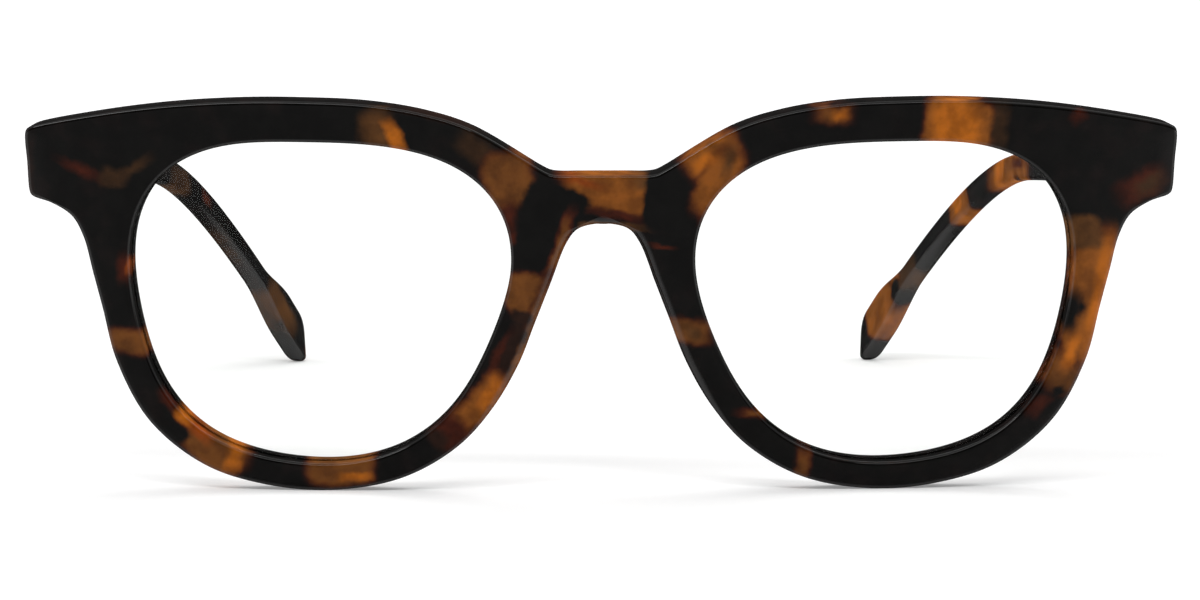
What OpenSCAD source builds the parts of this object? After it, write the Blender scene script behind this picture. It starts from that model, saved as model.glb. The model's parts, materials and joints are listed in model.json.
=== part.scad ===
// Acetate spectacles with a heavier brow: a bent front with two lenses, and two folding temples.
// The front is drawn in its own plane (X to the wearer's left, Z up, depth Y backwards),
// then the whole pair is tipped until it stands on its rims and on the temple tips.

/* [Lens openings] */
// Width of each lens opening
lens_w = 45.9; // [43:0.1:49]
// Height of each lens opening
lens_h = 39.9; // [37:0.1:43]
// Least gap between the two lens openings, across the nose
lens_gap = 23.8; // [21:0.1:27]
// Thickness of a lens
lens_t = 1.8; // [1.2:0.1:2.4]
// Depth of the groove that holds a lens
groove_depth = 0.6; // [0.4:0.05:0.9]
// Width of that groove
groove_w = 1; // [0.8:0.05:1.4]
// How far the groove lies ahead of the middle of the front's thickness
groove_ahead = 0.2; // [0:0.05:0.4]

/* [Front] */
// Width of the front over its end pieces
front_w = 141.6; // [137:0.1:147]
// Thickness of the front
front_t = 4.4; // [3.8:0.1:5]
// Radius that the front is bent to
bend_r = 450; // [350:10:900]
// Height of the brow over the lens opening
brow_h = 5.1; // [4:0.1:7]
// How far outside the lens centre the brow is highest
brow_peak_out = 6.9; // [4:0.1:9]
// Fall of the brow from its peak to the end piece
brow_end_fall = 3.8; // [2.5:0.1:5]
// Fall of the brow from its peak to the corner of the lens at the nose
brow_nose_fall = 3.9; // [3:0.1:4.6]
// How far outside the nose edge of the lens opening that fall ends
brow_nose_out = 2.7; // [1.5:0.1:4]
// Width of the rim under the lens
rim_low = 3.4; // [2.8:0.1:4.5]
// Width of the rim at the temple side
rim_side = 4; // [3.4:0.1:5]
// Width of the rim at the nose side
rim_nose = 4.4; // [3.8:0.1:5.2]
// Rounding of the front's edges
edge_r = 0.5; // [0.2:0.05:0.8]

/* [Bridge] */
// Height of the bridge's top edge above the lens centre
bridge_top = 15.1; // [13.5:0.1:16.5]
// Height of the bridge itself
bridge_h = 6.2; // [5:0.1:7.5]
// Width of the nose gap high up
nose_gap = 9.4; // [8:0.1:11]
// Slant of the nose edges
nose_angle = 21.3; // [18:0.1:24]
// Radius of the arch over the nose
arch_r = 3.6; // [2.5:0.1:4.5]
// Radius between the bridge and the brow
valley_r = 3.5; // [2:0.1:6]
// Width of the bevel along the arch and the nose edges
nose_bevel = 1.3; // [0.6:0.1:1.8]
// Depth of a nose pad behind the front
pad_depth = 2.8; // [2:0.1:4]
// Width of a nose pad at its foot
pad_w = 2.6; // [2:0.1:3]

/* [End pieces] */
// Height of the lower corner of the end piece above the lens centre
end_low = 11.8; // [10:0.1:13]
// Slope of the end piece's lower edge
end_slope = 18; // [12:1:24]
// Taper of the end piece's side, from top to bottom
end_draft = 0.5; // [0:0.1:1]
// Radius of the end piece's corners
corner_r = 1; // [0.6:0.1:1.6]
// Radius where the end piece runs into the rim
notch_r = 5.8; // [4:0.1:8]
// Angle of the rim's side below the end piece
side_angle = 76; // [74:0.5:79]

/* [Temples] */
// Length of a temple from the hinge pin to the tip, along its middle
temple_len = 145; // [138:1:150]
// Thickness of a temple at the hinge
temple_t = 3.8; // [3.4:0.1:4.4]
// Thickness of a temple at the ear
ear_t = 2.8; // [2.5:0.1:3.4]
// Height of a temple at the ear
ear_h = 3.8; // [3.4:0.1:5]
// Height of the widened tip
tip_h = 7.9; // [6:0.1:9]
// Length of the widened tip
tip_len = 18; // [14:1:26]
// Slant of the tip's end
tip_slant = 2.6; // [1:0.1:4.5]
// Straight length in front of the ear bend
straight_len = 82; // [76:1:88]
// Radius of the ear bend
ear_r = 72; // [55:1:80]
// Angle of the ear bend
ear_angle = 51; // [40:1:58]
// Angle by which a temple closes in towards the head
toe_in = 4.8; // [3:0.1:7]
// Further inward curve of the tip
tip_inward = 14.7; // [8:0.1:16]
// Angle between a temple and the square to the front
panto = 10.3; // [7:0.1:12]
// Radius of the temples' edges
temple_edge_r = 0.9; // [0.5:0.1:1.2]
// Diameter of the core wire
core_d = 1.2; // [1:0.1:1.4]

/* [Hinges] */
// Height of one barrel of the five
barrel_h = 1.2; // [1:0.1:1.3]
// Outer radius of the barrels
barrel_r = 1.4; // [1.2:0.05:1.5]
// Radius of the hinge screw's shank
pin_r = 0.6; // [0.5:0.05:0.7]
// Distance of the pin behind the end piece
pin_back = 2.5; // [2.3:0.1:3]
// Thickness of the hinge leaves
leaf_t = 1; // [0.8:0.1:1.2]
// Width of the leaf on the front
front_leaf_w = 6.6; // [6:0.1:7.5]
// Distance of the temple leaf behind the temple's end
leaf_setback = 1; // [0.8:0.1:1.3]
// Length of the leaf on the temple
temple_leaf_l = 10.5; // [9.5:0.5:13]
// Radius of the leaf screws' shanks
leaf_screw_r = 0.5; // [0.4:0.05:0.55]
// Length of the temple leaf's screws
leaf_screw_l = 2.4; // [2:0.1:2.8]

/* [Fits] */
// Clearance of the lens's edge in its groove
lens_fit = 0.1; // [0.05:0.01:0.15]
// Gap between the temple's end and the end piece
butt_gap = 0.15; // [0.1:0.01:0.3]
// Gap between neighbouring barrels
barrel_gap = 0.05; // [0.03:0.01:0.08]
// Radial clearance of the hinge screw in the turning barrels
pin_fit = 0.05; // [0.02:0.01:0.08]
// Gap between the barrels and the temple's inner face
swing_gap = 0.15; // [0.1:0.01:0.3]
// Clearance round leaves, screws and core wire where they are sunk in
sink_fit = 0.03; // [0.02:0.01:0.05]
// Least wall between a lens's back face and the tips of the front leaf's screws
lens_wall = 0.1; // [0.05:0.05:0.3]
// Thickness of the glue under the nose pads
glue_t = 0.05; // [0.03:0.01:0.1]

/* [Hidden] */

// Colours of the dark tortoiseshell, its lighter parts, the lenses and the metal
shell_color = "#2b1a10";
amber_color = "#6b3a17";
lens_color = [0.8, 0.88, 0.9, 0.35];
metal_color = "#b9b6ae";

// Radii of the lens outline every 30 degrees, from the temple side over the brow
trace = [24.7, 25.8, 21.6, 18.9, 20.5, 23, 21.2, 19.9, 20.6, 21, 22.6, 24.2];

// Drawing steps: counts, then lengths along a temple and its core wire
lens_steps = 90;
outline_steps = 3;
corner_steps = 3;
pad_steps = 10;
seam_steps = 3;
shaft_step = 6;
bend_step = 3;
core_step = 5;

// A hair's breadth, for cuts that run past a face, and how far a sink's cut runs past the surface
eps = 0.01;
over = 1;

// Small details: the groove's flanks, screw heads and slots, and how far metal lies under the surface
groove_flank = 0.1;
head_h = 0.4;
head_lip = 0.35;
pin_head_r = barrel_r - 0.2;
pin_head_h = 0.6;
slot_w = 0.25;
slot_depth = 0.2;
flush = 0.02;
leaf_rim = 0.35;
neck_inset = 0.25;
core_out = 0.35;
core_start = 1;
core_mouth = 3;

// Height over the lens centre at which the nose gap's width is measured
nose_top_z = 6;

// Lengths of brow line that give the corners at the end piece and at the bridge their direction
end_reach = 8;
valley_reach = 5;

// Where the outline has knots: heights on the nose edge, and steps along the brow from its end and its peak
nose_heights = [1.5, -3.5, -8.5];
brow_from_end = [8, 17, 26];
brow_from_peak = [3, 11, 18, 24];

// Spokes over which the bevel of the nose edge fades out along the rim
bevel_gone = 228;
bevel_fade = 22;

// Shape of a temple: how its height falls, where the tip swells and how its end is rounded
taper_power = 1.3;
tip_swell = 0.6;
tip_rounding = 0.45;
end_share = 0.2;
inward_lead = 8;
least_flat = 0.05;

// Spokes between which a nose pad lies
pad_from = 179;
pad_to = 213;

// The front's main lines, in its own plane, with the lens centre at height 0
scale_x = lens_w / (trace[0] + trace[6]);
scale_z = lens_h / (trace[3] + trace[9]);
lens_x = lens_gap / 2 + trace[6] * scale_x;
lens_top = trace[3] * scale_z;
end_x = front_w / 2;
brow_x = lens_x + brow_peak_out;
brow_top = lens_top + brow_h;
brow_nose_x = lens_gap / 2 + brow_nose_out;
end_top = brow_top - brow_end_fall;
bridge_low = bridge_top - bridge_h;
groove_v = front_t / 2 - groove_ahead;

// Unit direction, turning by 90 degrees and points on a line
function unit(v) = v / norm(v);
function towards(angle) = [cos(angle), sin(angle)];
function meet(p, d, q, e) = p + d * ((q - p) * [e[1], -e[0]]) / (d * [e[1], -e[0]]);

// A smooth closed curve through the traced radii
function ripple(t, n) = (1 + 2 * sum([for (k = [1 : n / 2 - 1]) cos(k * t)]) + cos(n / 2 * t)) / n;
function sum(v) = v * [for (x = v) 1];
trace_n = len(trace);
function trace_r(a) = sum([for (j = [0 : trace_n - 1]) trace[j] * ripple(a - 360 / trace_n * j, trace_n)]);
function opening(a) = [lens_x + scale_x * trace_r(a) * cos(a), scale_z * trace_r(a) * sin(a)];
function opening_out(a) = let(t = opening(a + 0.5) - opening(a - 0.5)) unit([t[1], -t[0]]);
function rim_w(a) = rim_low + ((cos(a) > 0 ? rim_side : rim_nose) - rim_low) * pow(cos(a), 2);
function rim(a) = opening(a) + rim_w(a) * opening_out(a);

// The brow line falls as a square towards the end piece and as a cube towards the nose
function brow_fall(x) = x > brow_x
    ? brow_end_fall * pow((x - brow_x) / (end_x - brow_x), 2)
    : brow_nose_fall * pow((brow_x - x) / (brow_x - brow_nose_x), 3);
function brow(x) = [x, brow_top - brow_fall(x)];
function brow_at(z) = brow_x - (brow_x - brow_nose_x) * pow((brow_top - z) / brow_nose_fall, 1 / 3);
function nose(z) = [nose_gap / 2 + (nose_top_z - z) * tan(nose_angle), z];

// Start, middle and end of a corner's rounding
function fillet(a, c, b, r) =
    let(u = unit(a - c), v = unit(b - c), half = acos(u * v) / 2, m = unit(u + v), t = r / tan(half))
    [c + u * t, c + m * (r / sin(half) - r), c + v * t];

// Corners of the half outline, from the middle of the bridge round the lens and back
rim_end = rim(357);
end_corner = [end_x - end_draft, end_low];
notch = meet(rim_end, towards(side_angle), end_corner, towards(end_slope));
valley = brow(brow_at(bridge_top));
arch_fillet = fillet([0, bridge_low], nose(bridge_low), nose(-9), arch_r);
notch_fillet = fillet(rim_end, notch, end_corner, notch_r);
low_fillet = fillet(notch, end_corner, brow(end_x), corner_r);
top_fillet = fillet(end_corner, brow(end_x), brow(end_x - end_reach), corner_r);
valley_fillet = fillet(brow(valley[0] + valley_reach), valley, [0, bridge_top], valley_r);

// Each knot holds the angle of its spoke at the lens, and the outline's point
function knots_at(angles, points) = [for (k = [0 : len(angles) - 1]) [angles[k], points[k]]];
knots = concat(
    [[166, [0, bridge_low]]],
    knots_at([167.5, 169.5, 172.5], arch_fillet),
    knots_at([180, 190, 202], [for (z = nose_heights) nose(z)]),
    [for (a = [216, 232, 250, 270, 290, 308, 325, 342, 357]) [a, rim(a)]],
    [[363, (rim_end + notch_fillet[0]) / 2]],
    knots_at([368, 371, 374], notch_fillet),
    knots_at([376.5, 378, 380], low_fillet),
    [[386, (end_corner + brow(end_x)) / 2]],
    knots_at([391, 393, 395], top_fillet),
    knots_at([400, 410, 432], [for (x = brow_from_end) brow(end_x - x)]),
    knots_at([450, 468, 482, 495], [for (x = brow_from_peak) brow(brow_x - x)]),
    knots_at([505, 509, 512], valley_fillet),
    [[515, [valley_fillet[2][0] / 2, bridge_top]], [518.5, [0, bridge_top]]]);
first_spoke = knots[0][0];
last_spoke = knots[len(knots) - 1][0];

// A curve through the knots, evened out by the roots of their distances
function mirrored(q) = [-q[0], q[1]];
function knot(i) = i < 0 ? mirrored(knots[1][1])
    : i >= len(knots) ? mirrored(knots[len(knots) - 2][1]) : knots[i][1];
function root_gap(p, q) = max(sqrt(norm(p - q)), 0.001);
function mix(p, q, s, e, t) = p * (e - t) / (e - s) + q * (t - s) / (e - s);
function through(p, q, r, s, f) =
    let(b = root_gap(p, q), c = b + root_gap(q, r), d = c + root_gap(r, s), t = b + (c - b) * f,
        pq = mix(p, q, 0, b, t), qr = mix(q, r, b, c, t), rs = mix(r, s, c, d, t))
    mix(mix(pq, qr, 0, c, t), mix(qr, rs, b, d, t), b, c, t);
function knot_before(a, i = 0) = i >= len(knots) - 2 || knots[i + 1][0] > a ? i : knot_before(a, i + 1);
function outline(a) =
    let(i = knot_before(a), f = (a - knots[i][0]) / (knots[i + 1][0] - knots[i][0]))
    through(knot(i - 1), knot(i), knot(i + 1), knot(i + 2), f);

// Spokes round one lens, then across the bridge's middle
function steps_after(i) = knots[i + 1][0] - knots[i][0] < 4 ? 2 : outline_steps;
spokes = concat([for (i = [0 : len(knots) - 2], j = [0 : steps_after(i) - 1])
                 knots[i][0] + (knots[i + 1][0] - knots[i][0]) * j / steps_after(i)], [last_spoke]);

// Bending: a point of the front's plane at a depth behind its front face
function bent(q, v) = let(c = sqrt(bend_r * bend_r - q[0] * q[0]))
    [q[0] * (1 - v / bend_r), bend_r - c + v * c / bend_r, q[1]];

// The bevel is full along the arch and the nose edge and fades out along the rim and the valley
function fade(f) = f <= 0 ? 0 : f >= 1 ? 1 : f * f * (3 - 2 * f);
function bevel(a) = edge_r + (nose_bevel - edge_r) * fade((bevel_gone - a) / bevel_fade);
function rounded(r) = [[r, 0], [0.3 * r, 0.3 * r], [0, r]];

// One section of the front: the lens groove's side, then the outline's side, both as [inset, depth]
inner_profile = concat(
    rounded(edge_r),
    [[0, groove_v - groove_w / 2], [groove_depth, groove_v - groove_w / 2 + groove_flank],
     [groove_depth, groove_v + groove_w / 2 - groove_flank], [0, groove_v + groove_w / 2]],
    [for (p = [2, 1, 0]) [rounded(edge_r)[p][0], front_t - rounded(edge_r)[p][1]]]);
function outer_profile(b) = concat([for (p = rounded(edge_r)) [p[0], front_t - p[1]]],
                                   [for (p = [2, 1, 0]) rounded(b)[p]]);
inner_n = len(inner_profile);
outer_n = len(outer_profile(1));
ring_n = inner_n + outer_n;
seam_n = inner_n + 2;

// Points of the outline at each spoke, and the way inwards there
rim_points = [for (a = spokes) outline(a)];
function rim_point(i) = i < 0 ? mirrored(rim_points[1])
    : i >= len(spokes) ? mirrored(rim_points[len(spokes) - 2]) : rim_points[i];
function inwards(i) = let(t = unit(rim_point(i + 1) - rim_point(i - 1))) [-t[1], t[0]];
function inner_points(a) =
    let(q = opening(a), d = opening_out(a)) [for (p = inner_profile) bent(q + d * p[0], p[1])];
function ring(i) = let(a = spokes[i], d = inwards(i)) concat(
    inner_points(a), [for (p = outer_profile(bevel(a))) bent(rim_points[i] + d * p[0], p[1])]);
function seam_ring(f) = concat(
    inner_points(last_spoke + f * (360 + first_spoke - last_spoke)),
    [bent([0, bridge_top - edge_r - f * (bridge_h - 2 * edge_r)], front_t),
     bent([0, bridge_top - edge_r - f * (bridge_h - edge_r - nose_bevel)], 0)]);

ring_count = len(spokes);
seam_base = ring_count * ring_n;
half_points = concat([for (i = [0 : ring_count - 1]) each ring(i)],
                     [for (k = [1 : seam_steps - 1]) each seam_ring(k / seam_steps)]);
half_n = len(half_points);

// Faces of one half: strips between rings, then the bridge's middle, which has no wall of its own
function strip(a, b, n, count) =
    [for (j = [0 : count - 1]) [a + j, a + (j + 1) % n, b + (j + 1) % n, b + j]];
function seam_strip(a, a_back, a_front, b, b_back, b_front) = concat(
    strip(a, b, ring_n, inner_n - 1),
    [[a + inner_n - 1, a_back, b_back, b + inner_n - 1], [a_front, a, b, b_front]]);
last_ring = (ring_count - 1) * ring_n;
function seam_start(k) = k == 0 ? last_ring : k == seam_steps ? 0 : seam_base + (k - 1) * seam_n;
function seam_back(k) = seam_start(k) + inner_n;
function seam_front(k) = seam_start(k) + (k == 0 || k == seam_steps ? ring_n - 1 : seam_n - 1);
half_faces = concat(
    [for (i = [0 : ring_count - 2]) each strip(i * ring_n, (i + 1) * ring_n, ring_n, ring_n)],
    [for (k = [0 : seam_steps - 1])
        each seam_strip(seam_start(k), seam_back(k), seam_front(k),
                        seam_start(k + 1), seam_back(k + 1), seam_front(k + 1))]);
function flipped(f) = [for (k = [len(f) - 1 : -1 : 0]) f[k]];
function twin(i) = abs(half_points[i][0]) < eps / 10 ? i : half_n + i;
front_points = concat(half_points, [for (p = half_points) [-p[0], p[1], p[2]]]);
front_faces = concat(half_faces, [for (f = half_faces) flipped([for (i = f) twin(i)])]);

// Where a temple meets the end piece: seat on its back face, and the temple's own axes there
seat_x = end_x * (1 - front_t / bend_r) - temple_t / 2;
seat_z = (end_top + end_low) / 2;
seat_turn = asin(seat_x / bend_r);
seat = bent([seat_x / (1 - front_t / bend_r), seat_z], front_t);
along_x = [cos(toe_in), sin(toe_in) * cos(panto), -sin(toe_in) * sin(panto)];
along_y = [-sin(toe_in), cos(toe_in) * cos(panto), -cos(toe_in) * sin(panto)];
along_z = [0, sin(panto), cos(panto)];
seat_normal = [-sin(seat_turn), cos(seat_turn), 0];
facing = [seat_normal * along_x, seat_normal * along_y, seat_normal * along_z];
function seat_y(x, z) = -(facing[0] * x + facing[2] * z) / facing[1];
function to_front(p) = seat + p[0] * along_x + p[1] * along_y + p[2] * along_z;

// Temple: its height, thickness, inward curve and path, all by the length s from the end piece
temple_total = temple_len + pin_back;
temple_h = (end_top - end_low) * cos(panto);
tip_start = temple_total - tip_len;
inward_start = straight_len - inward_lead;
tip_round = tip_rounding * tip_h;
function h_at(s) = ear_h + (temple_h - ear_h) * pow(max(1 - s / straight_len, 0), taper_power)
    + (tip_h - ear_h) * fade((s - tip_start) / (tip_swell * tip_len));
function t_at(s) = temple_t + (ear_t - temple_t) * fade(s / straight_len);
function inward(s) = tip_inward * pow(max(s - inward_start, 0) / (temple_total - inward_start), 2);
function turned(s) = max(0, min(ear_angle, (s - straight_len) / ear_r * 180 / PI));
function path(s) = let(a = turned(s), rest = max(0, s - straight_len - ear_r * ear_angle * PI / 180))
    [min(s, straight_len) + ear_r * sin(a) + rest * cos(a), -ear_r * (1 - cos(a)) - rest * sin(a)];
function shrink(s) =
    let(f = (s - temple_total + tip_round) / tip_round) f <= 0 ? 1 : max(sqrt(max(1 - f * f, 0)), end_share);

// A rectangle with rounded corners, as points in turn
function rounded_rect(w, h, r) = [for (q = [0 : 3], k = [0 : corner_steps])
    let(a = 90 * q + 90 * k / corner_steps, sx = q == 0 || q == 3 ? 1 : -1, sz = q < 2 ? 1 : -1)
    [sx * (w / 2 - r) + r * cos(a), sz * (h / 2 - r) + r * sin(a)]];
function temple_section(s) = let(k = shrink(s), w = t_at(s) * k, h = h_at(s) * k)
    rounded_rect(w, h, min(temple_edge_r, w / 2 - least_flat, h / 2 - least_flat));
function temple_point(s, p) =
    let(slant = tip_slant * (p[1] / h_at(s) + 0.5) * fade((s - tip_start) / tip_len),
        u = s - slant, q = path(u), a = turned(u))
    [(temple_t - t_at(s)) / 2 - inward(u) + p[0], q[0] + p[1] * sin(a), q[1] + p[1] * cos(a)];
function butt_point(p) = [p[0], seat_y(p[0], p[1]) + butt_gap, p[1]];
temple_stations = concat(
    [for (s = [shaft_step : shaft_step : straight_len - shaft_step]) s],
    [for (s = [straight_len - bend_step : bend_step : temple_total - tip_round]) s],
    [for (a = [15 : 15 : 75]) temple_total - tip_round * (1 - sin(a))],
    [temple_total]);
temple_rings = concat([[for (p = temple_section(0)) butt_point(p)]],
                      [for (s = temple_stations) [for (p = temple_section(s)) temple_point(s, p)]]);

// A closed tube of faces through rings of points
module skin(rings) {
    n = len(rings[0]);
    last = (len(rings) - 1) * n;
    polyhedron(points = [for (r = rings) each r], faces = concat(
        [[for (j = [n - 1 : -1 : 0]) j]],
        [for (i = [0 : len(rings) - 2], j = [0 : n - 1])
            each [[i * n + j, (i + 1) * n + (j + 1) % n, (i + 1) * n + j],
                  [i * n + j, i * n + (j + 1) % n, (i + 1) * n + (j + 1) % n]]],
        [[for (j = [0 : n - 1]) last + j]]), convexity = 6);
}

// Standing: the tilt at which rims and temple tips touch the floor together, then the place on the floor
function tipped(p, a) = [p[0], p[1] * cos(a) - p[2] * sin(a), p[1] * sin(a) + p[2] * cos(a)];
function lowest(points, a) = min([for (p = points) p[1] * sin(a) + p[2] * cos(a)]);
low_front = [for (p = half_points) if (p[2] < -lens_h / 3) p];
tip_rings = 12;
last_ring_i = len(temple_rings) - 1;
low_tip = [for (i = [last_ring_i - tip_rings + 1 : last_ring_i], p = temple_rings[i]) to_front(p)];
least_lean = -5;
most_lean = 20;
halvings = 40;
function balance(a, b, n) = let(m = (a + b) / 2)
    n == 0 ? m : lowest(low_tip, m) < lowest(low_front, m) ? balance(m, b, n - 1) : balance(a, m, n - 1);
lean = balance(least_lean, most_lean, halvings);
floor_z = lowest(low_front, lean);
depth_min = min([for (p = half_points) tipped(p, lean)[1]]);
depth_max = max([for (p = low_tip) tipped(p, lean)[1]]);
module standing() {
    translate([0, -(depth_min + depth_max) / 2, -floor_z]) rotate([lean, 0, 0]) children();
}

// Sides: the wearer's left is drawn and the right is its mirror image
module on_side(left) {
    if (left) children();
    else mirror([1, 0, 0]) children();
}
// Axes of a temple, and of the end piece's back face, at the seat
module at_temple() translate(seat) rotate([-panto, 0, 0]) rotate([0, 0, toe_in]) children();
module at_end() translate(seat) rotate([0, 0, seat_turn]) children();

// Hinge places, in the temple's axes
stack_h = 5 * barrel_h + 4 * barrel_gap;
pin_x = -temple_t / 2 - barrel_r - swing_gap;
function barrel_z(level) = -stack_h / 2 + level * (barrel_h + barrel_gap);
front_leaf_h = stack_h + 2 * leaf_rim;
temple_leaf_h = 3 * barrel_h + 2 * barrel_gap + 2 * leaf_rim;
front_leaf_x = -temple_t / 2 - sink_fit - front_leaf_w / 2;
neck_w = 2 * (barrel_r - neck_inset);

// Leaf screws keep a rim of leaf round their heads, stand clear of the barrels and end behind the lens
front_screw_l = front_t - groove_v - lens_t / 2 - flush - lens_wall;
screw_edge = leaf_screw_r + head_lip + leaf_rim;
front_screw_x = front_leaf_x - front_leaf_w / 2 + screw_edge;
front_screw_z = front_leaf_h / 2 - screw_edge;
temple_screw_y = [pin_back + barrel_r + screw_edge, leaf_setback + temple_leaf_l - screw_edge];
temple_screw_z = temple_leaf_h / 2 - screw_edge;

// The slot across a screw's head of radius r, whose face is at height 0
module slot(r) {
    cube([3 * r, slot_w, 2 * slot_depth], center = true);
}

// A sunk screw along Z, with its head's face at 0, and the hole that takes it
module sunk_screw(length, fit = 0, slotted = true) {
    shank_r = leaf_screw_r + fit;
    difference() {
        union() {
            translate([0, 0, -length - fit]) cylinder(r = shank_r, h = length + fit, $fn = 32);
            translate([0, 0, -head_h])
                cylinder(r1 = shank_r, r2 = shank_r + head_lip, h = head_h + fit, $fn = 32);
        }
        if (slotted) slot(leaf_screw_r + head_lip);
    }
}
module front_screws_at() {
    at_end() for (side = [-1, 1])
        translate([front_screw_x, -flush, side * front_screw_z]) rotate([-90, 0, 0]) children();
}
module temple_screws_at() {
    at_temple() for (k = [0, 1])
        translate([-temple_t / 2 + flush, temple_screw_y[k], (2 * k - 1) * temple_screw_z])
            rotate([0, -90, 0]) children();
}

// Leaves: the plate on the end piece and the plate on the temple's inner face.
// As a cut, each has a fit all round and runs past the surface.
module front_plate(fit = 0, past = 0) {
    at_end() translate([front_leaf_x - front_leaf_w / 2 - fit, -leaf_t - fit, -front_leaf_h / 2 - fit])
        cube([front_leaf_w + 2 * fit, leaf_t + fit - flush + past, front_leaf_h + 2 * fit]);
}
module temple_plate(fit = 0, past = 0) {
    at_temple() translate([-temple_t / 2 + flush - past, leaf_setback - fit, -temple_leaf_h / 2 - fit])
        cube([leaf_t + fit - flush + past, temple_leaf_l + 2 * fit, temple_leaf_h + 2 * fit]);
}
module barrel(level) {
    at_temple() translate([pin_x, pin_back, barrel_z(level)]) cylinder(r = barrel_r, h = barrel_h, $fn = 48);
}
module bore(level, r) {
    at_temple() translate([pin_x, pin_back, barrel_z(level) - eps])
        cylinder(r = r, h = barrel_h + 2 * eps, $fn = 48);
}
module front_neck(level) {
    foot = seat_y(pin_x, barrel_z(level) + barrel_h / 2) - leaf_t / 2;
    at_temple() translate([pin_x - neck_w / 2, foot, barrel_z(level)])
        cube([neck_w, pin_back - foot, barrel_h]);
}
module temple_neck(level) {
    at_temple() translate([pin_x, pin_back - neck_w / 2, barrel_z(level)])
        cube([-temple_t / 2 + leaf_t / 2 - pin_x, neck_w, barrel_h]);
}

module front() {
    color(shell_color) standing() difference() {
        polyhedron(points = front_points, faces = front_faces, convexity = 8);
        for (left = [true, false]) on_side(left) {
            front_plate(sink_fit, over);
            front_screws_at() sunk_screw(front_screw_l, sink_fit, false);
        }
    }
}

// A lens: its body fills the opening and its thin edge sits in the groove, both bent like the front
function opening_grown(d) =
    [for (k = [0 : lens_steps - 1]) let(a = 360 * k / lens_steps) opening(a) + d * opening_out(a)];
module bent_slice(v, t) {
    translate([0, bend_r, -lens_h]) difference() {
        cylinder(r = bend_r - v, h = 2 * lens_h, $fn = 360);
        translate([0, 0, -eps]) cylinder(r = bend_r - v - t, h = 2 * lens_h + 2 * eps, $fn = 360);
    }
}
module lens_blank(grown, v, t) {
    intersection() {
        rotate([90, 0, 0]) linear_extrude(height = lens_h, center = true) polygon(opening_grown(grown));
        bent_slice(v, t);
    }
}
module lens(left) {
    edge_t = groove_w - 2 * groove_flank - 2 * lens_fit;
    color(lens_color) standing() on_side(left) union() {
        lens_blank(-lens_fit, groove_v - lens_t / 2, lens_t);
        lens_blank(groove_depth - lens_fit, groove_v - edge_t / 2, edge_t);
    }
}

// A nose pad: a low mound along the back of the nose edge, from the spoke at its top to the one at its foot
// The mound's section, as shares of its width and height, ends at the front's rounded edge
pad_profile = [[1, 0], [0.95, 0.4], [0.72, 0.8], [0.38, 1], [0.08, 0.88], [-0.08, 0.55], [0, 0.22]];
pad_end = 0.04;
pad_end_w = 0.55;
function pad_ring(f) =
    let(a = pad_from + (pad_to - pad_from) * f, t = unit(outline(a + 1) - outline(a - 1)), d = [-t[1], t[0]],
        k = sqrt(sin(180 * (pad_end + (1 - 2 * pad_end) * f))),
        w = pad_w * (pad_end_w + (1 - pad_end_w) * k), h = pad_depth * k)
    [for (p = concat([for (q = pad_profile) [q[0] * w, q[1] * h]], [[edge_r, 0]]))
        bent(outline(a) + d * p[0], front_t + glue_t + p[1])];
module nose_pad(left) {
    color(amber_color) standing() on_side(left)
        skin([for (k = [0 : pad_steps]) pad_ring(k / pad_steps)]);
}

module hinge_front_leaf(left) {
    color(metal_color) standing() on_side(left) difference() {
        union() {
            front_plate();
            for (level = [0, 2, 4]) {
                barrel(level);
                front_neck(level);
            }
        }
        bore(0, pin_r);
        for (level = [2, 4]) bore(level, pin_r + pin_fit);
        front_screws_at() sunk_screw(front_screw_l, sink_fit, false);
    }
}
module hinge_temple_leaf(left) {
    color(metal_color) standing() on_side(left) difference() {
        union() {
            temple_plate();
            for (level = [1, 3]) {
                barrel(level);
                temple_neck(level);
            }
        }
        for (level = [1, 3]) bore(level, pin_r + pin_fit);
        temple_screws_at() sunk_screw(leaf_screw_l, sink_fit, false);
    }
}
module hinge_screw(left) {
    color(metal_color) standing() on_side(left) at_temple() translate([pin_x, pin_back, 0]) difference() {
        union() {
            translate([0, 0, -stack_h / 2]) cylinder(r = pin_r, h = stack_h, $fn = 48);
            translate([0, 0, stack_h / 2]) cylinder(r = pin_head_r, h = pin_head_h, $fn = 48);
        }
        translate([0, 0, stack_h / 2 + pin_head_h]) slot(pin_head_r);
    }
}
module front_leaf_screws(left) {
    color(metal_color) standing() on_side(left) front_screws_at() sunk_screw(front_screw_l);
}
module temple_leaf_screws(left) {
    color(metal_color) standing() on_side(left) temple_screws_at() sunk_screw(leaf_screw_l);
}

// The core wire runs inside the temple from behind the leaf to the tip
core_sides = 8;
core_end = temple_total - tip_len / 2;
function core_ring(s, r) = let(q = path(s), a = turned(s), out = core_out * (1 - fade(s / straight_len)))
    [for (k = [0 : core_sides - 1]) let(p = r * towards((k + 0.5) * 360 / core_sides))
        [(temple_t - t_at(s)) / 2 - inward(s) + out + p[0], q[0] + p[1] * sin(a), q[1] + p[1] * cos(a)]];
function core_rings(start, end, r) = [for (s = concat(
    [start],
    [for (s = [2 * core_step : 2 * core_step : inward_start]) s],
    [for (s = [straight_len : core_step : end - bend_step]) s],
    [end])) core_ring(s, r)];
module temple_core(left) {
    color(metal_color) standing() on_side(left) at_temple()
        skin(core_rings(core_start, core_end, core_d / 2));
}
module temple(left) {
    color(shell_color) standing() on_side(left) difference() {
        at_temple() skin(temple_rings);
        temple_plate(sink_fit, over);
        temple_screws_at() sunk_screw(leaf_screw_l, sink_fit, false);
        at_temple() skin(core_rings(-core_mouth, core_end + sink_fit, core_d / 2 + sink_fit));
    }
}

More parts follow.
